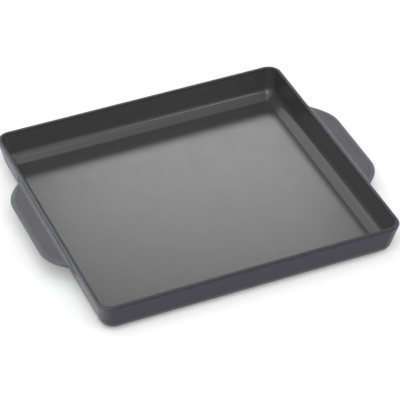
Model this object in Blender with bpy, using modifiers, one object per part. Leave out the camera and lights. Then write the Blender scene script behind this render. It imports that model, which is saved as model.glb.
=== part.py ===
"""A shallow rectangular cast iron skillet with two tab handles, in metres, +Z up.

The origin lies under the middle of the base. The pan is one casting in use; here it is kept as
the pieces it is made up of: the iron tray, its two handles, and the enamel inside and outside.
"""
import math

import bmesh
import bpy

# Driving dimensions of the tray
RIM_LENGTH = 0.340
RIM_WIDTH = 0.320
HEIGHT = 0.039
WALL = 0.0042
FLOOR = 0.0034
OUTER_DRAFT = math.radians(10.5)
INNER_DRAFT = math.radians(6.5)
CORNER_RADIUS = 0.016
BASE_RADIUS = 0.018
BEVEL_SETBACK = 0.0085
RIM_ROUND = 0.0016

# Driving dimensions of the handles
HANDLE_REACH = 0.022
HANDLE_TIP_LENGTH = 0.104
HANDLE_ROOT_LENGTH = 0.163
HANDLE_THICKNESS = 0.0055
HANDLE_DROP = 0.0040
HANDLE_CORNER = 0.040
HANDLE_EDGE = 0.0020

# Driving dimensions of the enamel
ENAMEL = 0.0005
ENAMEL_SHOULDER = 0.0020
ENAMEL_FOOT = 0.0040
CLEARANCE = 0.0003

# How finely round edges are divided
CORNER_STEPS = 6
BASE_STEPS = 6
BEVEL_STEPS = 1
RIM_STEPS = 3
HANDLE_CORNER_STEPS = 8
HANDLE_EDGE_STEPS = 3

# Edges that turn more than this are corners, not facets of a round
SHARP_TURN = math.radians(50.0)

# How far a cutter runs past what it cuts
OVERRUN = 0.010

# The largest shares of a corner's radius and of a plate's thickness that an edge may take up
CORNER_SHARE = 0.95
EDGE_SHARE = 0.4

# Points closer than this are one point, and faces that turn less than this are one face
WELD_DISTANCE = 0.00001
FLAT_TURN = math.radians(0.06)


def clear_scene():
    """Removes every object that is in the file."""
    for thing in list(bpy.data.objects):
        bpy.data.objects.remove(thing, do_unlink=True)


def new_collection(name):
    """Adds a collection to the scene."""
    collection = bpy.data.collections.new(name)
    bpy.context.scene.collection.children.link(collection)
    return collection


def finish_material(name, colour, roughness, metallic):
    """Makes a plain Principled finish."""
    material = bpy.data.materials.new(name)
    material.use_nodes = True
    shader = material.node_tree.nodes["Principled BSDF"]
    shader.inputs["Base Color"].default_value = (*colour, 1.0)
    shader.inputs["Roughness"].default_value = roughness
    shader.inputs["Metallic"].default_value = metallic
    return material


def add_object(name, mesh, collection):
    """Links a mesh to the scene under a name."""
    thing = bpy.data.objects.new(name, mesh)
    collection.objects.link(thing)
    return thing


def add_part(name, mesh, collection, material):
    """Links a smooth-shaded piece with its finish."""
    mesh.materials.append(material)
    mesh.shade_smooth()
    mesh.set_sharp_from_angle(angle=SHARP_TURN)
    return add_object(name, mesh, collection)


def add_cutter(name, mesh, collection):
    """Links a mesh that only shapes other pieces."""
    cutter = add_object(name, mesh, collection)
    cutter.hide_render = True
    cutter.display_type = "WIRE"
    return cutter


def combine(thing, tool, operation):
    """Adds a Boolean between a piece and a cutter."""
    boolean = thing.modifiers.new(f"{operation.title()} {tool.name}", "BOOLEAN")
    boolean.object = tool
    boolean.operation = operation
    boolean.solver = "EXACT"
    return boolean


def tray_half_sizes(draft, inset, height):
    """Half length and half width of a drafted block at a height.

    Its walls lean from the edge of the rim, and then lie inset inside that.
    """
    lean = (HEIGHT - height) * math.tan(draft) + inset / math.cos(draft)
    return RIM_LENGTH / 2 - lean, RIM_WIDTH / 2 - lean


def round_setback(radius, draft):
    """How far a round between a base and a drafted side reaches along each of them."""
    return radius * math.tan((math.pi / 2 - draft) / 2)


def bevel_setback(depth):
    """How far the bevel between the floor and the walls reaches along each, at a depth under the enamel.

    It grows with the depth so that the bevel's faces stay as far apart as those of the floor.
    """
    half_angle = (math.pi / 2 + INNER_DRAFT) / 2
    return BEVEL_SETBACK + depth * (1 / math.sin(half_angle) - 1) / math.cos(half_angle)


def tray_mesh(name, draft, inset, bottom, top, setback, steps):
    """A solid block from bottom to top, with drafted sides and round corners.

    Its base edge is cut back by a setback: a flat bevel in one step, or a round in more.
    """
    block = bmesh.new()
    bmesh.ops.create_cube(block, size=1.0)
    for vertex in block.verts:
        height = top if vertex.co.z > 0 else bottom
        half_length, half_width = tray_half_sizes(draft, inset, height)
        vertex.co.x = math.copysign(half_length, vertex.co.x)
        vertex.co.y = math.copysign(half_width, vertex.co.y)
        vertex.co.z = height
    corner_radius = CORNER_RADIUS - inset
    uprights = [edge for edge in block.edges if edge.verts[0].co.z != edge.verts[1].co.z]
    bmesh.ops.bevel(block, geom=uprights, offset=corner_radius, segments=CORNER_STEPS,
                    profile=0.5, affect="EDGES")
    level = bottom + WELD_DISTANCE
    base_loop = [edge for edge in block.edges if all(vertex.co.z < level for vertex in edge.verts)]
    bmesh.ops.bevel(block, geom=base_loop, offset=min(setback, CORNER_SHARE * corner_radius),
                    segments=steps, profile=0.5, affect="EDGES")
    bmesh.ops.recalc_face_normals(block, faces=block.faces)
    mesh = bpy.data.meshes.new(name)
    block.to_mesh(mesh)
    block.free()
    return mesh


def slab_mesh(name, bottom, top):
    """A flat block, larger than the pan in plan."""
    block = bmesh.new()
    bmesh.ops.create_cube(block, size=1.0)
    reach = HANDLE_REACH + OVERRUN
    for vertex in block.verts:
        vertex.co.x *= RIM_LENGTH + 2 * reach
        vertex.co.y *= RIM_WIDTH + 2 * reach
        vertex.co.z = top if vertex.co.z > 0 else bottom
    mesh = bpy.data.meshes.new(name)
    block.to_mesh(mesh)
    block.free()
    return mesh


def rounded_corner(before, corner, after, radius, steps):
    """Points of the arc that rounds a corner of an outline."""
    to_before = math.atan2(before[1] - corner[1], before[0] - corner[0])
    to_after = math.atan2(after[1] - corner[1], after[0] - corner[0])
    opening = (to_after - to_before + math.pi) % (2 * math.pi) - math.pi
    half = opening / 2
    to_centre = radius / abs(math.sin(half))
    centre_x = corner[0] + to_centre * math.cos(to_before + half)
    centre_y = corner[1] + to_centre * math.sin(to_before + half)
    turn = math.copysign(math.pi - abs(opening), -opening)
    start = to_before + math.copysign(math.pi / 2, -opening)
    angles = [start + turn * step / steps for step in range(steps + 1)]
    return [(centre_x + radius * math.cos(angle), centre_y + radius * math.sin(angle))
            for angle in angles]


def handle_outline(grow):
    """The handle seen from above: x out from the rim's edge, y along it, grown all round."""
    slant_run = (HANDLE_ROOT_LENGTH - HANDLE_TIP_LENGTH) / 2
    slant = math.atan2(slant_run, HANDLE_REACH)
    tip_x = HANDLE_REACH + grow
    root_x = -(WALL + HEIGHT * math.tan(OUTER_DRAFT) + OVERRUN)
    side = HANDLE_TIP_LENGTH / 2 + grow / math.cos(slant) - grow * math.tan(slant)
    root_y = side + (tip_x - root_x) * math.tan(slant)
    corners = [(root_x, root_y), (root_x, -root_y), (tip_x, -side), (tip_x, side)]
    radius = HANDLE_CORNER + grow
    outline = corners[:2]
    outline += rounded_corner(corners[1], corners[2], corners[3], radius, HANDLE_CORNER_STEPS)
    outline += rounded_corner(corners[2], corners[3], corners[0], radius, HANDLE_CORNER_STEPS)
    return outline


def handle_mesh(name, grow, collection):
    """The handle as a flat plate, made from its outline and welded into one body."""
    outline = handle_outline(grow)
    curve = bpy.data.curves.new(name, "CURVE")
    curve.dimensions = "2D"
    curve.fill_mode = "BOTH"
    curve.extrude = HANDLE_THICKNESS / 2 + grow
    spline = curve.splines.new("POLY")
    spline.points.add(len(outline) - 1)
    spline.use_cyclic_u = True
    for point, (x, y) in zip(spline.points, outline):
        point.co = (x, y, 0.0, 1.0)
    drawn = add_object(name, curve, collection)
    evaluated = drawn.evaluated_get(bpy.context.evaluated_depsgraph_get())
    mesh = bpy.data.meshes.new_from_object(evaluated)
    bpy.data.objects.remove(drawn, do_unlink=True)
    plate = bmesh.new()
    plate.from_mesh(mesh)
    bmesh.ops.remove_doubles(plate, verts=plate.verts, dist=WELD_DISTANCE)
    bmesh.ops.dissolve_limit(plate, angle_limit=FLAT_TURN, verts=plate.verts, edges=plate.edges)
    bmesh.ops.recalc_face_normals(plate, faces=plate.faces)
    plate.to_mesh(mesh)
    plate.free()
    return mesh


def place_handle(thing, side):
    """Sets a handle or its cutter at the middle of the right (+1) or left (-1) side."""
    thing.location = (side * RIM_LENGTH / 2, 0.0, HEIGHT - HANDLE_DROP - HANDLE_THICKNESS / 2)
    thing.rotation_euler = (0.0, 0.0, 0.0 if side > 0 else math.pi)


def round_edges(thing, radius, steps):
    """Rounds the sharp edges of a piece."""
    bevel = thing.modifiers.new("Round edges", "BEVEL")
    bevel.width = radius
    bevel.segments = steps
    bevel.limit_method = "ANGLE"
    bevel.angle_limit = SHARP_TURN


def make_body(parts, cutters, material):
    """The iron tray: floor, drafted walls and a round rim."""
    base = round_setback(BASE_RADIUS, OUTER_DRAFT)
    mesh = tray_mesh("pan_body", OUTER_DRAFT, 0.0, 0.0, HEIGHT, base, BASE_STEPS)
    body = add_part("pan_body", mesh, parts, material)
    bevel = bevel_setback(ENAMEL + CLEARANCE)
    hollow = tray_mesh("hollow", INNER_DRAFT, WALL, FLOOR, HEIGHT + OVERRUN, bevel, BEVEL_STEPS)
    combine(body, add_cutter("hollow", hollow, cutters), "DIFFERENCE")
    round_edges(body, min(RIM_ROUND, EDGE_SHARE * WALL), RIM_STEPS)


def make_interior_enamel(parts, cutters, material):
    """The coat on the floor and on the inside of the walls, up to just under the rim."""
    outside = WALL + CLEARANCE
    top = HEIGHT - ENAMEL_SHOULDER
    bottom = FLOOR + CLEARANCE
    bevel = bevel_setback(ENAMEL)
    mesh = tray_mesh("interior_enamel", INNER_DRAFT, outside, bottom, top, bevel, BEVEL_STEPS)
    coat = add_part("interior_enamel", mesh, parts, material)
    inset = outside + ENAMEL
    floor = bottom + ENAMEL
    inside = tray_mesh("interior_face", INNER_DRAFT, inset, floor, HEIGHT, BEVEL_SETBACK, BEVEL_STEPS)
    combine(coat, add_cutter("interior_face", inside, cutters), "DIFFERENCE")


def make_exterior_enamel(parts, cutters, material, seat):
    """The coat on the outside of the walls, open at the base and where the handles join."""
    reach = CLEARANCE + ENAMEL
    base = round_setback(BASE_RADIUS + reach, OUTER_DRAFT)
    mesh = tray_mesh("exterior_enamel", OUTER_DRAFT, -reach, -reach, HEIGHT, base, BASE_STEPS)
    coat = add_part("exterior_enamel", mesh, parts, material)
    band = slab_mesh("exterior_band", ENAMEL_FOOT, HEIGHT - ENAMEL_SHOULDER)
    combine(coat, add_cutter("exterior_band", band, cutters), "INTERSECT")
    combine(coat, seat, "DIFFERENCE")
    for side, name in ((1, "right_window"), (-1, "left_window")):
        window = add_cutter(name, handle_mesh(name, CLEARANCE, cutters), cutters)
        place_handle(window, side)
        combine(coat, window, "DIFFERENCE")


def make_handles(parts, cutters, material, seat):
    """A flat tab with round edges at the middle of each short side, cut to the tray's wall."""
    for side, name in ((1, "right_handle"), (-1, "left_handle")):
        handle = add_part(name, handle_mesh(name, 0.0, parts), parts, material)
        place_handle(handle, side)
        round_edges(handle, min(HANDLE_EDGE, EDGE_SHARE * HANDLE_THICKNESS), HANDLE_EDGE_STEPS)
        combine(handle, seat, "DIFFERENCE")


def main():
    clear_scene()
    parts = new_collection("skillet")
    cutters = new_collection("cutters")
    iron = finish_material("cast_iron", (0.055, 0.055, 0.058), 0.6, 0.0)
    handle_enamel = finish_material("handle_enamel", (0.075, 0.076, 0.085), 0.5, 0.0)
    black_enamel = finish_material("black_enamel", (0.030, 0.030, 0.031), 0.3, 0.0)
    grey_enamel = finish_material("grey_enamel", (0.060, 0.061, 0.070), 0.5, 0.0)
    make_body(parts, cutters, iron)
    seat_setback = round_setback(BASE_RADIUS + CLEARANCE, OUTER_DRAFT)
    seat_mesh = tray_mesh("tray_seat", OUTER_DRAFT, -CLEARANCE, -CLEARANCE, HEIGHT + OVERRUN,
                          seat_setback, BASE_STEPS)
    seat = add_cutter("tray_seat", seat_mesh, cutters)
    make_handles(parts, cutters, handle_enamel, seat)
    make_interior_enamel(parts, cutters, black_enamel)
    make_exterior_enamel(parts, cutters, grey_enamel, seat)


main()
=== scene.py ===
"""Looks of the cast iron skillet: smooth enamelled iron on a white studio table."""
import math

import bmesh
import bpy
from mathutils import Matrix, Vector


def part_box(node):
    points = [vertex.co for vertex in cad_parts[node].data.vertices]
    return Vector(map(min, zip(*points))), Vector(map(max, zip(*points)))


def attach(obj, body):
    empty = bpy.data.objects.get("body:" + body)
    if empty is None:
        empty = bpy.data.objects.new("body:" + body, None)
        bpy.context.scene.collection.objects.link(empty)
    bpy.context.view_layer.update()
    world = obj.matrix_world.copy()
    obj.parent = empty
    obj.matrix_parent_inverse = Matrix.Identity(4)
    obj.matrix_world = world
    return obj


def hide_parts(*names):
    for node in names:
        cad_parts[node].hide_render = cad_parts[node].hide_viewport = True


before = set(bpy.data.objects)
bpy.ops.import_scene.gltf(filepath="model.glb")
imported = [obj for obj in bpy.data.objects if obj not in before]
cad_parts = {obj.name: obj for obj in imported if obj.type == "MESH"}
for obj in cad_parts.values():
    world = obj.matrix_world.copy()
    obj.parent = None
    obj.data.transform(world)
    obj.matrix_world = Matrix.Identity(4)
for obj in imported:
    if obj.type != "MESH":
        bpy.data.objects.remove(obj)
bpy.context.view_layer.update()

# Sizes of the tray, in metres
RIM_LENGTH = 0.340
RIM_WIDTH = 0.320
RIM_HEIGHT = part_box("pan_body")[1].z
RIM_OUTER_ROUND = 0.0020
RIM_INNER_ROUND = 0.0007
WALL = 0.0042
OUTER_DRAFT = math.radians(10.5)
INNER_DRAFT = math.radians(6.5)
CORNER_RADIUS = 0.0155
LEAST_CORNER = 0.0008
BASE_RADIUS = 0.018
BASE_CORNER_SHARE = 0.93

# The cooking floor, which lies a solid coat's thickness above the bottom of the coat
SOLID_COAT = 0.0005
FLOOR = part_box("interior_enamel")[0].z + SOLID_COAT

# The bevel between the floor and the walls, with a run of floor and wall beside it for its rounds
BEVEL_RISE = 0.0060
BEVEL_REACH = 0.0102
BEVEL_HEAD_ROUND = 0.0100
BEVEL_FOOT_ROUND = 0.0010
BEVEL_RUN = 0.012

# The coats: their thickness, where the outer one starts, and how far below the rim the iron ends
COAT = 0.00045
ENAMEL_FOOT = 0.0012
IRON_DROP = 0.0030

# Sizes of the handles
HANDLE_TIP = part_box("right_handle")[1].x
HANDLE_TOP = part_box("right_handle")[1].z
HANDLE_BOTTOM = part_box("right_handle")[0].z
HANDLE_TIP_HALF = 0.0565
HANDLE_CORNER = 0.040
HANDLE_ROOT_HALF = 0.0745
HANDLE_ROOT_REACH = 0.0026
HANDLE_ROOT_DEPTH = 0.0018
HANDLE_FLARE = 0.005
HANDLE_END_HALF = 0.090
HANDLE_FILLET_RISE = 0.0015
HANDLE_FILLET_WIDTH = 0.0045
HANDLE_FILLET_SHARE = 0.4
HANDLE_UNDER_FILLET = 0.0050
HANDLE_UNDER_DEPTH = 0.0065
HANDLE_EDGE = 0.0018
HANDLE_CROWN_WIDTH = 0.0065
HANDLE_CROWN_DROP = 0.0016
HANDLE_CROWN_ROUND = 0.020
HANDLE_CROWN_SHARE = 0.4

# How far the edges of the handles' fillets dip under the skin of the wall
SKIN = 0.00012

# How finely round shapes are divided, and how much of a side a round may take up
CORNER_STEPS = 18
RING_POINTS = 4 * (CORNER_STEPS + 1)
ARC_STEPS = 14
RIM_STEPS = 10
EDGE_STEPS = 8
EDGE_SHARE = 0.48
OUTLINE_STEPS = 18
OUTLINE_SHARE = 0.8
STATION_GAP = 0.008

# How much large faces outweigh small ones where their shading meets
NORMAL_WEIGHT = 100

# The step over the rim's outer round at which the grey coat ends and the black one begins
RIM_SPLIT = 9

# How far below the rim the grey coat's painted highlight on the short sides reaches, how far below the rim
# the black coat is worn on the inside, and how far a handle's painted highlight reaches from its outer
# edge and, full then fading, from its root
RIM_HIGHLIGHT_DROP = 0.024
RIM_INNER_WEAR = 0.0030
HANDLE_HIGHLIGHT_WIDTH = 0.0070
FILLET_HIGHLIGHT_START = 0.0034
FILLET_HIGHLIGHT_END = 0.0052

# The reach from which a handle's outer edge carries its full painted highlight
HANDLE_HIGHLIGHT_REACH = 0.012

# The coats' low, high and worn colour, their low, high and worn roughness, and their orange peel; on the
# grey coat and the handles the worn colour is a lighter painted highlight, on the black coat it is real
# wear
# The grey coat's low and high colours are the handles' enamel darkened, as painted shade on the outer
# walls
GREY_COLOURS = ((0.013, 0.0125, 0.024, 1.0), (0.020, 0.0195, 0.033, 1.0), (0.135, 0.135, 0.148, 1.0))
GREY_ROUGHNESS = (0.30, 0.34, 0.38)
GREY_PEEL = 0.16
BLACK_COLOURS = ((0.056, 0.056, 0.058, 1.0), (0.062, 0.062, 0.064, 1.0), (0.020, 0.020, 0.023, 1.0))
BLACK_ROUGHNESS = (0.20, 0.22, 0.55)
BLACK_PEEL = 0.20
# The handles' worn colour is a painted highlight on their outer edges and beside the wall
HANDLE_COLOURS = ((0.058, 0.058, 0.068, 1.0), (0.076, 0.076, 0.086, 1.0), (0.148, 0.148, 0.162, 1.0))
HANDLE_ROUGHNESS = (0.44, 0.52, 0.42)
HANDLE_PEEL = 0.30

# How strongly enamel reflects
ENAMEL_IOR = 1.4

# Noises of the enamel: their scale and detail, and one roughness for all
WEAR_AND_HIGHLIGHT_NOISE = (160.0, 4.0)
MOTTLE_NOISE = (700.0, 6.0)
GLOSS_NOISE = (45.0, 5.0)
PEEL_NOISE = (420.0, 2.0)
FINE_PEEL_NOISE = (1500.0, 3.0)
NOISE_ROUGHNESS = 0.55

# The part of a noise's range that is spread over the enamel's low to high values
ENAMEL_RANGE = (0.35, 0.65)

# The least of the wear and painted highlight that shows in its patches, and the heights of the orange peel
LEAST_WEAR_AND_HIGHLIGHT = 0.75
PEEL_HEIGHT = 0.00025
FINE_PEEL_HEIGHT = 0.00006

# The bare iron: its noise's scale, detail and roughness, and what is low and high in its grain
IRON_NOISE = (340.0, 8.0, 0.7)
IRON_RANGE = (0.3, 0.7)
IRON_COLOURS = ((0.030, 0.030, 0.032, 1.0), (0.065, 0.065, 0.068, 1.0))
IRON_ROUGHNESS = (0.5, 0.68)
IRON_GRAIN = 0.5
IRON_GRAIN_HEIGHT = 0.0005

# The table
TABLE_SIZE = 12.0
TABLE_WHITE = 0.95
TABLE_ROUGHNESS = 0.9

# Light levels, where 1 is white
AMBIENT = 0.09
TABLE_GLOW = 0.20

# The lamps, all turned to the pan: azimuth, elevation, distance, width, height and light level
LAMPS = {
    "back_softbox": (23.4, 35.5, 3.0, 0.77, 0.59, 5.65),
    "back_left_glow": (-20.0, 26.0, 3.0, 2.6, 1.9, 1.55),
    "ceiling": (-135.0, 67.0, 1.85, 2.0, 2.0, 1.45),
    "front_left_key": (-158.0, 50.0, 2.1, 0.9, 1.4, 4.0),
    "right_fill": (108.0, 28.0, 2.0, 1.8, 0.8, 1.8),
    "front_right_strip": (152.4, 34.3, 2.32, 0.4, 0.6, 5.0),
}

# The camera, from the photograph's perspective
CAMERA_AZIMUTH = math.radians(-23.41)
CAMERA_ELEVATION = math.radians(38.66)
CAMERA_DISTANCE = 2.397
CAMERA_TARGET = Vector((-0.0084, -0.0351, RIM_HEIGHT))
CAMERA_LENS = 204.2
CAMERA_SENSOR = 36.0
CAMERA_RANGE = 50.0


def ring(half_length, half_width, radius, height):
    """Points of a rounded rectangle at a height, anticlockwise from above."""
    points = []
    corners = ((1, 1, 0.0), (-1, 1, 0.5), (-1, -1, 1.0), (1, -1, 1.5))
    for side_x, side_y, start in corners:
        centre_x = side_x * (half_length - radius)
        centre_y = side_y * (half_width - radius)
        for step in range(CORNER_STEPS + 1):
            angle = math.pi * (start + 0.5 * step / CORNER_STEPS)
            points.append((centre_x + radius * math.cos(angle),
                           centre_y + radius * math.sin(angle), height))
    return points


def tray_ring(inset, height, corner_radius):
    """A ring of the tray whose sides lie inset inside the rim's outer edge."""
    radius = max(corner_radius, LEAST_CORNER)
    return ring(RIM_LENGTH / 2 - inset, RIM_WIDTH / 2 - inset, radius, height)


def wall_inset(draft, offset, height):
    """How far a wall that leans from the rim, then lies offset inside, is from the rim at a height."""
    return (RIM_HEIGHT - height) * math.tan(draft) + offset / math.cos(draft)


def wall_ring(draft, offset, height):
    """A ring of a leaning wall at a height."""
    return tray_ring(wall_inset(draft, offset, height), height, CORNER_RADIUS - offset)


def side_shares():
    """For each point of a ring, 1 on the short sides, where the handles are, and 0 on the long ones."""
    turns = [0.5 * step / CORNER_STEPS for step in range(CORNER_STEPS + 1)]
    # These shares set where the grey coat's rim carries its painted highlight
    return [math.cos(math.pi * (0.5 * corner + turn)) ** 2 for corner in range(4) for turn in turns]


def rounded_path(corners, steps, share):
    """A path with its inner corners rounded; each corner is (x, z, radius).

    A round takes up no more than a share of the shorter side next to it.
    """
    path = [corners[0][:2]]
    for before, here, after in zip(corners, corners[1:], corners[2:]):
        corner = Vector(here[:2])
        to_before = Vector(before[:2]) - corner
        to_after = Vector(after[:2]) - corner
        opening = to_before.angle(to_after)
        limit = share * min(to_before.length, to_after.length)
        setback = min(here[2] / math.tan(opening / 2), limit)
        start = corner + to_before.normalized() * setback
        end = corner + to_after.normalized() * setback
        weight = math.sin(opening / 2)
        for step in range(steps + 1):
            part = step / steps
            blend = ((1 - part) ** 2, 2 * weight * part * (1 - part), part ** 2)
            point = (start * blend[0] + corner * blend[1] + end * blend[2]) / sum(blend)
            path.append((point.x, point.y))
    path.append(corners[-1][:2])
    return path


def base_rings(offset, bottom, lowest=0.0):
    """Rings of the round edge between the base and the outer wall, from the lowest height up."""
    radius = BASE_RADIUS - offset
    centre_height = bottom + radius
    centre_inset = wall_inset(OUTER_DRAFT, offset + radius, centre_height)
    corner = CORNER_RADIUS - offset
    depth = radius * math.cos(OUTER_DRAFT)
    shrink = min(1.0, BASE_CORNER_SHARE * corner / depth)
    rings = []
    for step in range(ARC_STEPS + 1):
        angle = (math.pi / 2 - OUTER_DRAFT) * step / ARC_STEPS
        inset = centre_inset - radius * math.sin(angle)
        height = centre_height - radius * math.cos(angle)
        if height >= lowest:
            shrunk = shrink * (inset - centre_inset + depth)
            rings.append(tray_ring(inset, height, corner - shrunk))
    return rings


def bevel_rings(depth):
    """Rings of the bevel around the floor, from the floor up, moved into the wall by depth."""
    offset = WALL - depth
    bottom = FLOOR - depth
    head = bottom + BEVEL_RISE
    foot_inset = wall_inset(INNER_DRAFT, offset, bottom) + BEVEL_REACH
    corners = [(foot_inset + BEVEL_RUN, bottom, 0.0), (foot_inset, bottom, BEVEL_FOOT_ROUND),
               (wall_inset(INNER_DRAFT, offset, head), head, BEVEL_HEAD_ROUND),
               (wall_inset(INNER_DRAFT, offset, head + BEVEL_RUN), head + BEVEL_RUN, 0.0)]
    rings = []
    for inset, height in rounded_path(corners, EDGE_STEPS, EDGE_SHARE)[1:]:
        beyond = max(0.0, inset - wall_inset(INNER_DRAFT, offset, height))
        rings.append(tray_ring(inset, height, CORNER_RADIUS - offset - beyond))
    return rings


def rim_rings(depth):
    """Rings over the rim, from the outer wall to the inner wall, inside the outer skin by depth."""
    outer_radius = RIM_OUTER_ROUND - depth
    outer_height = RIM_HEIGHT - RIM_OUTER_ROUND
    rings = []
    for step in range(RIM_STEPS + 1):
        angle = (math.pi / 2 + OUTER_DRAFT) * step / RIM_STEPS - OUTER_DRAFT
        inset = RIM_OUTER_ROUND - outer_radius * math.cos(angle)
        height = outer_height + outer_radius * math.sin(angle)
        rings.append(tray_ring(inset, height, CORNER_RADIUS - inset))
    inner_radius = RIM_INNER_ROUND - depth
    inner_height = RIM_HEIGHT - RIM_INNER_ROUND
    inner_centre = wall_inset(INNER_DRAFT, WALL - RIM_INNER_ROUND, inner_height)
    for step in range(RIM_STEPS + 1):
        angle = (math.pi / 2 - INNER_DRAFT) * step / RIM_STEPS
        inset = inner_centre + inner_radius * math.sin(angle)
        height = inner_height + inner_radius * math.cos(angle)
        rings.append(tray_ring(inset, height, CORNER_RADIUS - inset))
    return rings


def finish_mesh(block, name, material):
    """Turns a bmesh into a smooth piece with its finish."""
    bmesh.ops.recalc_face_normals(block, faces=block.faces)
    mesh = bpy.data.meshes.new(name)
    block.to_mesh(mesh)
    block.free()
    mesh.materials.append(material)
    mesh.shade_smooth()
    piece = bpy.data.objects.new(name, mesh)
    bpy.context.scene.collection.objects.link(piece)
    weighted = piece.modifiers.new("Flat faces stay flat", "WEIGHTED_NORMAL")
    weighted.weight = NORMAL_WEIGHT
    weighted.keep_sharp = True
    return piece


def loft(name, rings, material, closed=False, wear_and_highlight=None):
    """A skin over a row of rings, capped at both ends or closed into a band, with its wear and painted
    highlight from 0 to 1.
    """
    block = bmesh.new()
    rows = [[block.verts.new(point) for point in points] for points in rings]
    count = len(rows[0])
    pairs = list(zip(rows, rows[1:]))
    if closed:
        pairs.append((rows[-1], rows[0]))
    for low, high in pairs:
        for index in range(count):
            after = (index + 1) % count
            block.faces.new((low[index], low[after], high[after], high[index]))
    if not closed:
        block.faces.new(rows[0][::-1])
        block.faces.new(rows[-1])
    piece = finish_mesh(block, name, material)
    if wear_and_highlight is not None:
        layer = piece.data.attributes.new("wear_and_highlight", "FLOAT", "POINT")
        layer.data.foreach_set("value", [amount for row in wear_and_highlight for amount in row])
    return piece


def divided(path, longest):
    """A path with its long straight steps cut into even shorter ones."""
    points = [path[0]]
    for before, after in zip(path, path[1:]):
        count = math.ceil((Vector(after) - Vector(before)).length / longest)
        for step in range(1, count + 1):
            points.append(tuple(Vector(before).lerp(Vector(after), step / count)))
    return points


def handle_reach_stations():
    """The handle's reach from the wall at places along it: (place, reach) from one end to the other."""
    middle = (HANDLE_TOP + HANDLE_BOTTOM) / 2
    lean = wall_inset(OUTER_DRAFT, 0.0, middle)
    reach = HANDLE_TIP - RIM_LENGTH / 2 + lean
    corners = [(0.0, reach, 0.0), (HANDLE_TIP_HALF, reach, HANDLE_CORNER),
               (HANDLE_ROOT_HALF, HANDLE_ROOT_REACH + lean, HANDLE_FLARE), (HANDLE_END_HALF, 0.0, 0.0)]
    side = divided(rounded_path(corners, OUTLINE_STEPS, OUTLINE_SHARE), STATION_GAP)
    return [(-place, depth) for place, depth in reversed(side[1:])] + side


def handle_section(reach):
    """A cut across the handle: (distance from the wall, height) all round, closed inside the wall."""
    upper = HANDLE_TOP + HANDLE_FILLET_RISE
    under = HANDLE_BOTTOM - HANDLE_UNDER_DEPTH
    out = max(reach, SKIN / 2) - SKIN
    crown = min(HANDLE_CROWN_WIDTH, HANDLE_CROWN_SHARE * (out + SKIN))
    shoulder = out - crown
    brow = HANDLE_TOP - HANDLE_CROWN_DROP * crown / HANDLE_CROWN_WIDTH
    width = min(HANDLE_FILLET_WIDTH, HANDLE_FILLET_SHARE * (out + SKIN))
    path = []
    for step in range(EDGE_STEPS + 1):
        angle = math.pi / 2 * step / EDGE_STEPS
        path.append((width * (1 - math.cos(angle)) - SKIN, upper - HANDLE_FILLET_RISE * math.sin(angle)))
    corners = [(*path[-1], 0.0), (shoulder, HANDLE_TOP, HANDLE_CROWN_ROUND), (out, brow, HANDLE_EDGE),
               (out, HANDLE_BOTTOM, HANDLE_EDGE), (-SKIN, HANDLE_BOTTOM, HANDLE_UNDER_FILLET),
               (-SKIN, under, 0.0)]
    rounds = rounded_path(corners, EDGE_STEPS, EDGE_SHARE)[1:]
    # A point on the top where the painted highlight beside the wall fades out
    highlight_end = FILLET_HIGHLIGHT_END - HANDLE_FILLET_WIDTH + width - SKIN
    path.append((min(highlight_end, (path[-1][0] + rounds[0][0]) / 2), HANDLE_TOP))
    path += rounds
    return path + [(-HANDLE_ROOT_DEPTH, under), (-HANDLE_ROOT_DEPTH, upper)]


def handle_highlight_share(reach, distance, height):
    """How strongly a handle is lightened at a point, as a painted highlight: along its outer edge, and on
    its top beside the wall.
    """
    near_edge = max(0.0, 1.0 - (reach - distance) / HANDLE_HIGHLIGHT_WIDTH) * min(1.0, reach / HANDLE_HIGHLIGHT_REACH)
    if height < HANDLE_TOP - SKIN:
        return near_edge
    near_wall = (FILLET_HIGHLIGHT_END - distance) / (FILLET_HIGHLIGHT_END - FILLET_HIGHLIGHT_START)
    return max(near_edge, min(1.0, near_wall))


def handle(name, side, material):
    """A tab handle that flares into the wall, on the right (+1) or left (-1) side."""
    rows = []
    wear_and_highlight = []
    for place, reach in handle_reach_stations():
        section = handle_section(reach)
        # The handle's outer edge and its top beside the wall are lightened as a painted highlight
        wear_and_highlight.append([handle_highlight_share(reach, distance, height) for distance, height in section])
        row = []
        for distance, height in section:
            x = RIM_LENGTH / 2 - wall_inset(OUTER_DRAFT, 0.0, height) + distance
            row.append((side * x, place, height))
        rows.append(row)
    return loft(name, rows, material, wear_and_highlight=wear_and_highlight)


def new_material(name):
    """An empty node material; returns it with its tree and shader."""
    material = bpy.data.materials.new(name)
    material.use_nodes = True
    tree = material.node_tree
    return material, tree, tree.nodes["Principled BSDF"]


def noise(tree, place, scale, detail, roughness=NOISE_ROUGHNESS):
    """A noise texture in object space."""
    node = tree.nodes.new("ShaderNodeTexNoise")
    node.inputs["Scale"].default_value = scale
    node.inputs["Detail"].default_value = detail
    node.inputs["Roughness"].default_value = roughness
    tree.links.new(place, node.inputs["Vector"])
    return node.outputs["Fac"]


def ramp(tree, value, span, first, last):
    """Maps a value from a span, low to high, to a first to last colour or grey."""
    node = tree.nodes.new("ShaderNodeValToRGB")
    for element, position, colour in zip(node.color_ramp.elements, span, (first, last)):
        element.position = position
        element.color = colour
    tree.links.new(value, node.inputs["Fac"])
    return node.outputs["Color"]


def grey(shade):
    """A grey as an RGBA colour."""
    return (shade, shade, shade, 1.0)


def bump(tree, height, strength, distance, normal=None):
    """A bump from a height value."""
    node = tree.nodes.new("ShaderNodeBump")
    node.inputs["Strength"].default_value = strength
    node.inputs["Distance"].default_value = distance
    tree.links.new(height, node.inputs["Height"])
    if normal is not None:
        tree.links.new(normal, node.inputs["Normal"])
    return node.outputs["Normal"]


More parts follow.
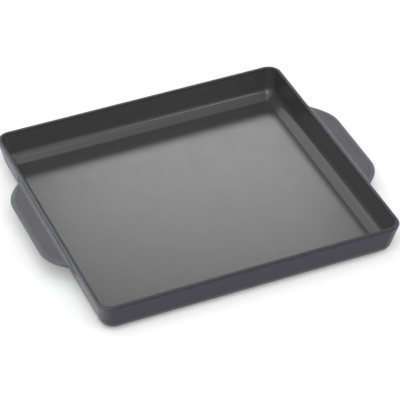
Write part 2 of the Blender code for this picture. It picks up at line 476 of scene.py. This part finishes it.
def wear_and_highlight_share(tree, place):
    """How far a coat goes to its worn colour, unevenly, from 0 to 1: real wear on the black coat, a
    painted highlight on the grey coat and the handles.
    """
    wear_and_highlight = tree.nodes.new("ShaderNodeAttribute")
    wear_and_highlight.attribute_name = "wear_and_highlight"
    patches = ramp(tree, noise(tree, place, *WEAR_AND_HIGHLIGHT_NOISE), ENAMEL_RANGE, grey(LEAST_WEAR_AND_HIGHLIGHT), grey(1.0))
    share = tree.nodes.new("ShaderNodeMath")
    share.operation = "MULTIPLY"
    tree.links.new(wear_and_highlight.outputs["Fac"], share.inputs[0])
    tree.links.new(patches, share.inputs[1])
    return share.outputs["Value"]


def mixed(tree, share, fresh, worn_and_lit):
    """A colour or grey that goes from fresh to worn with a share; on the grey coat and the handles the
    worn value is a painted highlight.
    """
    mix = tree.nodes.new("ShaderNodeMixRGB")
    mix.inputs["Color2"].default_value = worn_and_lit
    tree.links.new(share, mix.inputs["Fac"])
    tree.links.new(fresh, mix.inputs["Color1"])
    return mix.outputs["Color"]


def enamel(name, colours, roughness, peel):
    """Enamel on cast iron: mottled colour, edges worn on the black coat and lightened as a painted
    highlight on the grey coat and the handles, uneven gloss and a fine orange peel.

    Colours and roughness each have a low, a high and a worn value; the worn colour of the grey coat and
    the handles is a painted highlight.
    """
    material, tree, shader = new_material(name)
    place = tree.nodes.new("ShaderNodeTexCoord").outputs["Object"]
    share = wear_and_highlight_share(tree, place)
    low_colour, high_colour, worn_and_lit_colour = colours
    mottle = ramp(tree, noise(tree, place, *MOTTLE_NOISE), ENAMEL_RANGE, low_colour, high_colour)
    tree.links.new(mixed(tree, share, mottle, worn_and_lit_colour), shader.inputs["Base Color"])
    low_rough, high_rough, worn_and_lit_rough = map(grey, roughness)
    gloss = ramp(tree, noise(tree, place, *GLOSS_NOISE), ENAMEL_RANGE, low_rough, high_rough)
    tree.links.new(mixed(tree, share, gloss, worn_and_lit_rough), shader.inputs["Roughness"])
    coarse = bump(tree, noise(tree, place, *PEEL_NOISE), peel, PEEL_HEIGHT)
    fine = bump(tree, noise(tree, place, *FINE_PEEL_NOISE), peel, FINE_PEEL_HEIGHT, coarse)
    tree.links.new(fine, shader.inputs["Normal"])
    shader.inputs["IOR"].default_value = ENAMEL_IOR
    return material


def bare_iron():
    """The ground base: dull iron with a sand-cast grain."""
    material, tree, shader = new_material("base_iron")
    place = tree.nodes.new("ShaderNodeTexCoord").outputs["Object"]
    grain = noise(tree, place, *IRON_NOISE)
    tree.links.new(ramp(tree, grain, IRON_RANGE, *IRON_COLOURS), shader.inputs["Base Color"])
    tree.links.new(ramp(tree, grain, IRON_RANGE, *map(grey, IRON_ROUGHNESS)), shader.inputs["Roughness"])
    tree.links.new(bump(tree, grain, IRON_GRAIN, IRON_GRAIN_HEIGHT), shader.inputs["Normal"])
    return material


def coat(name, material, skins, worn_and_lit, closed=False):
    """A coat between a front and a back skin, each given as its fresh rings and the worn ones above; on
    the grey coat the worn rings carry a painted highlight.
    """
    fresh = [0.0] * RING_POINTS
    front, back = [lower + upper for lower, upper in skins]
    front_wear, back_wear = [[fresh] * len(lower) + [worn_and_lit] * len(upper) for lower, upper in skins]
    return loft(name, front + back[::-1], material, closed, front_wear + back_wear[::-1])


def outer_coat():
    """The grey coat on the outside of the walls, darkened as painted shade, with a painted highlight near
    the rim on the short sides.
    """
    material = enamel("grey_enamel", GREY_COLOURS, GREY_ROUGHNESS, GREY_PEEL)
    skins = []
    for depth in (0.0, COAT):
        fresh = base_rings(depth, depth, ENAMEL_FOOT)
        fresh.append(wall_ring(OUTER_DRAFT, depth, RIM_HEIGHT - RIM_HIGHLIGHT_DROP))
        skins.append((fresh, rim_rings(depth)[:RIM_SPLIT + 1]))
    # On the short sides the rim rings go to the lighter worn colour, a painted highlight
    piece = coat("outer_enamel", material, skins, side_shares(), closed=True)
    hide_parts("exterior_enamel")
    return piece


def inner_coat():
    """The black coat on the floor, on the inside of the walls and over the rim, which is worn."""
    material = enamel("black_enamel", BLACK_COLOURS, BLACK_ROUGHNESS, BLACK_PEEL)
    skins = []
    for depth in (0.0, COAT):
        fresh = bevel_rings(depth)
        fresh.append(wall_ring(INNER_DRAFT, WALL - depth, RIM_HEIGHT - RIM_INNER_WEAR))
        skins.append((fresh, rim_rings(depth)[RIM_SPLIT:][::-1]))
    piece = coat("inner_enamel", material, skins, [1.0] * RING_POINTS)
    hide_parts("interior_enamel")
    return piece


def iron_tray():
    """The iron between the coats, with the bare base."""
    depth = COAT / 2
    shoulder = RIM_HEIGHT - IRON_DROP
    rings = base_rings(depth, 0.0)
    rings.append(wall_ring(OUTER_DRAFT, depth, shoulder))
    rings.append(wall_ring(INNER_DRAFT, WALL - depth, shoulder))
    rings += bevel_rings(depth)[::-1]
    piece = loft("iron_tray", rings, bare_iron())
    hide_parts("pan_body")
    return piece


def handle_pieces():
    """Both handles, in grey enamel lighter than the outside's, which is darkened as painted shade; their
    outer edges and roots carry a painted highlight.
    """
    material = enamel("handle_enamel", HANDLE_COLOURS, HANDLE_ROUGHNESS, HANDLE_PEEL)
    pieces = []
    for node, side in (("right_handle", 1), ("left_handle", -1)):
        piece = handle(f"{node}_tab", side, material)
        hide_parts(node)
        pieces.append(piece)
    return pieces


def seen_directly(tree):
    """A value that is 1 for what the camera sees, straight or in a reflection, and 0 for lighting."""
    path = tree.nodes.new("ShaderNodeLightPath")
    seen = path.outputs["Is Camera Ray"]
    for kind in ("Is Glossy Ray", "Is Transmission Ray"):
        either = tree.nodes.new("ShaderNodeMath")
        either.operation = "MAXIMUM"
        tree.links.new(seen, either.inputs[0])
        tree.links.new(path.outputs[kind], either.inputs[1])
        seen = either.outputs[0]
    return seen


def level(tree, factor, unseen, seen):
    """A strength that goes from unseen to seen with a factor."""
    node = tree.nodes.new("ShaderNodeMapRange")
    node.inputs["To Min"].default_value = unseen
    node.inputs["To Max"].default_value = seen
    tree.links.new(factor, node.inputs["Value"])
    return node.outputs["Result"]


def table():
    """A plain white table that takes the pan's shadow and doesn't hide the base from below."""
    bpy.ops.mesh.primitive_plane_add(size=TABLE_SIZE, location=(0.0, 0.0, 0.0))
    top = bpy.context.object
    top.name = "table"
    material, tree, shader = new_material("white_table")
    shader.inputs["Base Color"].default_value = grey(TABLE_WHITE)
    shader.inputs["Roughness"].default_value = TABLE_ROUGHNESS
    shader.inputs["Specular IOR Level"].default_value = 0.0
    shader.inputs["Emission Color"].default_value = grey(1.0)
    tree.links.new(level(tree, seen_directly(tree), 0.0, TABLE_GLOW), shader.inputs["Emission Strength"])
    one_sided = tree.nodes.new("ShaderNodeMixShader")
    tree.links.new(tree.nodes.new("ShaderNodeNewGeometry").outputs["Backfacing"], one_sided.inputs["Fac"])
    tree.links.new(shader.outputs["BSDF"], one_sided.inputs[1])
    tree.links.new(tree.nodes.new("ShaderNodeBsdfTransparent").outputs["BSDF"], one_sided.inputs[2])
    tree.links.new(one_sided.outputs["Shader"], tree.nodes["Material Output"].inputs["Surface"])
    top.data.materials.append(material)


def around(azimuth, elevation, distance):
    """A place around the pan: azimuth in degrees from the back towards the right."""
    turn = math.radians(azimuth)
    rise = math.radians(elevation)
    level_distance = distance * math.cos(rise)
    return Vector((level_distance * math.sin(turn), level_distance * math.cos(turn),
                   distance * math.sin(rise)))


def panel(name, place, width, height, radiance):
    """A soft rectangular lamp that faces the pan and looks as bright as radiance times white."""
    lamp = bpy.data.lights.new(name, "AREA")
    lamp.shape = "RECTANGLE"
    lamp.size = width
    lamp.size_y = height
    lamp.energy = radiance * math.pi * width * height
    thing = bpy.data.objects.new(name, lamp)
    thing.location = place
    thing.rotation_euler = (-place).to_track_quat("-Z", "Y").to_euler()
    bpy.context.scene.collection.objects.link(thing)


def studio():
    """White surroundings with the lamps."""
    world = bpy.data.worlds.new("studio")
    bpy.context.scene.world = world
    world.use_nodes = True
    tree = world.node_tree
    background = tree.nodes["Background"]
    background.inputs["Color"].default_value = grey(1.0)
    tree.links.new(level(tree, seen_directly(tree), AMBIENT, 1.0), background.inputs["Strength"])
    for name, (azimuth, elevation, distance, width, height, radiance) in LAMPS.items():
        panel(name, around(azimuth, elevation, distance), width, height, radiance)


def camera():
    """The photograph's view."""
    lens = bpy.data.cameras.new("camera")
    lens.lens = CAMERA_LENS
    lens.sensor_width = CAMERA_SENSOR
    lens.clip_end = CAMERA_RANGE
    thing = bpy.data.objects.new("camera", lens)
    back = Vector((math.sin(CAMERA_AZIMUTH) * math.cos(CAMERA_ELEVATION),
                   -math.cos(CAMERA_AZIMUTH) * math.cos(CAMERA_ELEVATION),
                   math.sin(CAMERA_ELEVATION)))
    thing.location = CAMERA_TARGET + back * CAMERA_DISTANCE
    thing.rotation_euler = (-back).to_track_quat("-Z", "Y").to_euler()
    bpy.context.scene.collection.objects.link(thing)
    bpy.context.scene.camera = thing


def main():
    """The camera, the pan, the table and the light."""
    camera()
    for piece in [outer_coat(), inner_coat(), iron_tray()] + handle_pieces():
        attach(piece, "root")
    table()
    studio()
    bpy.context.scene.view_settings.view_transform = "Standard"


main()
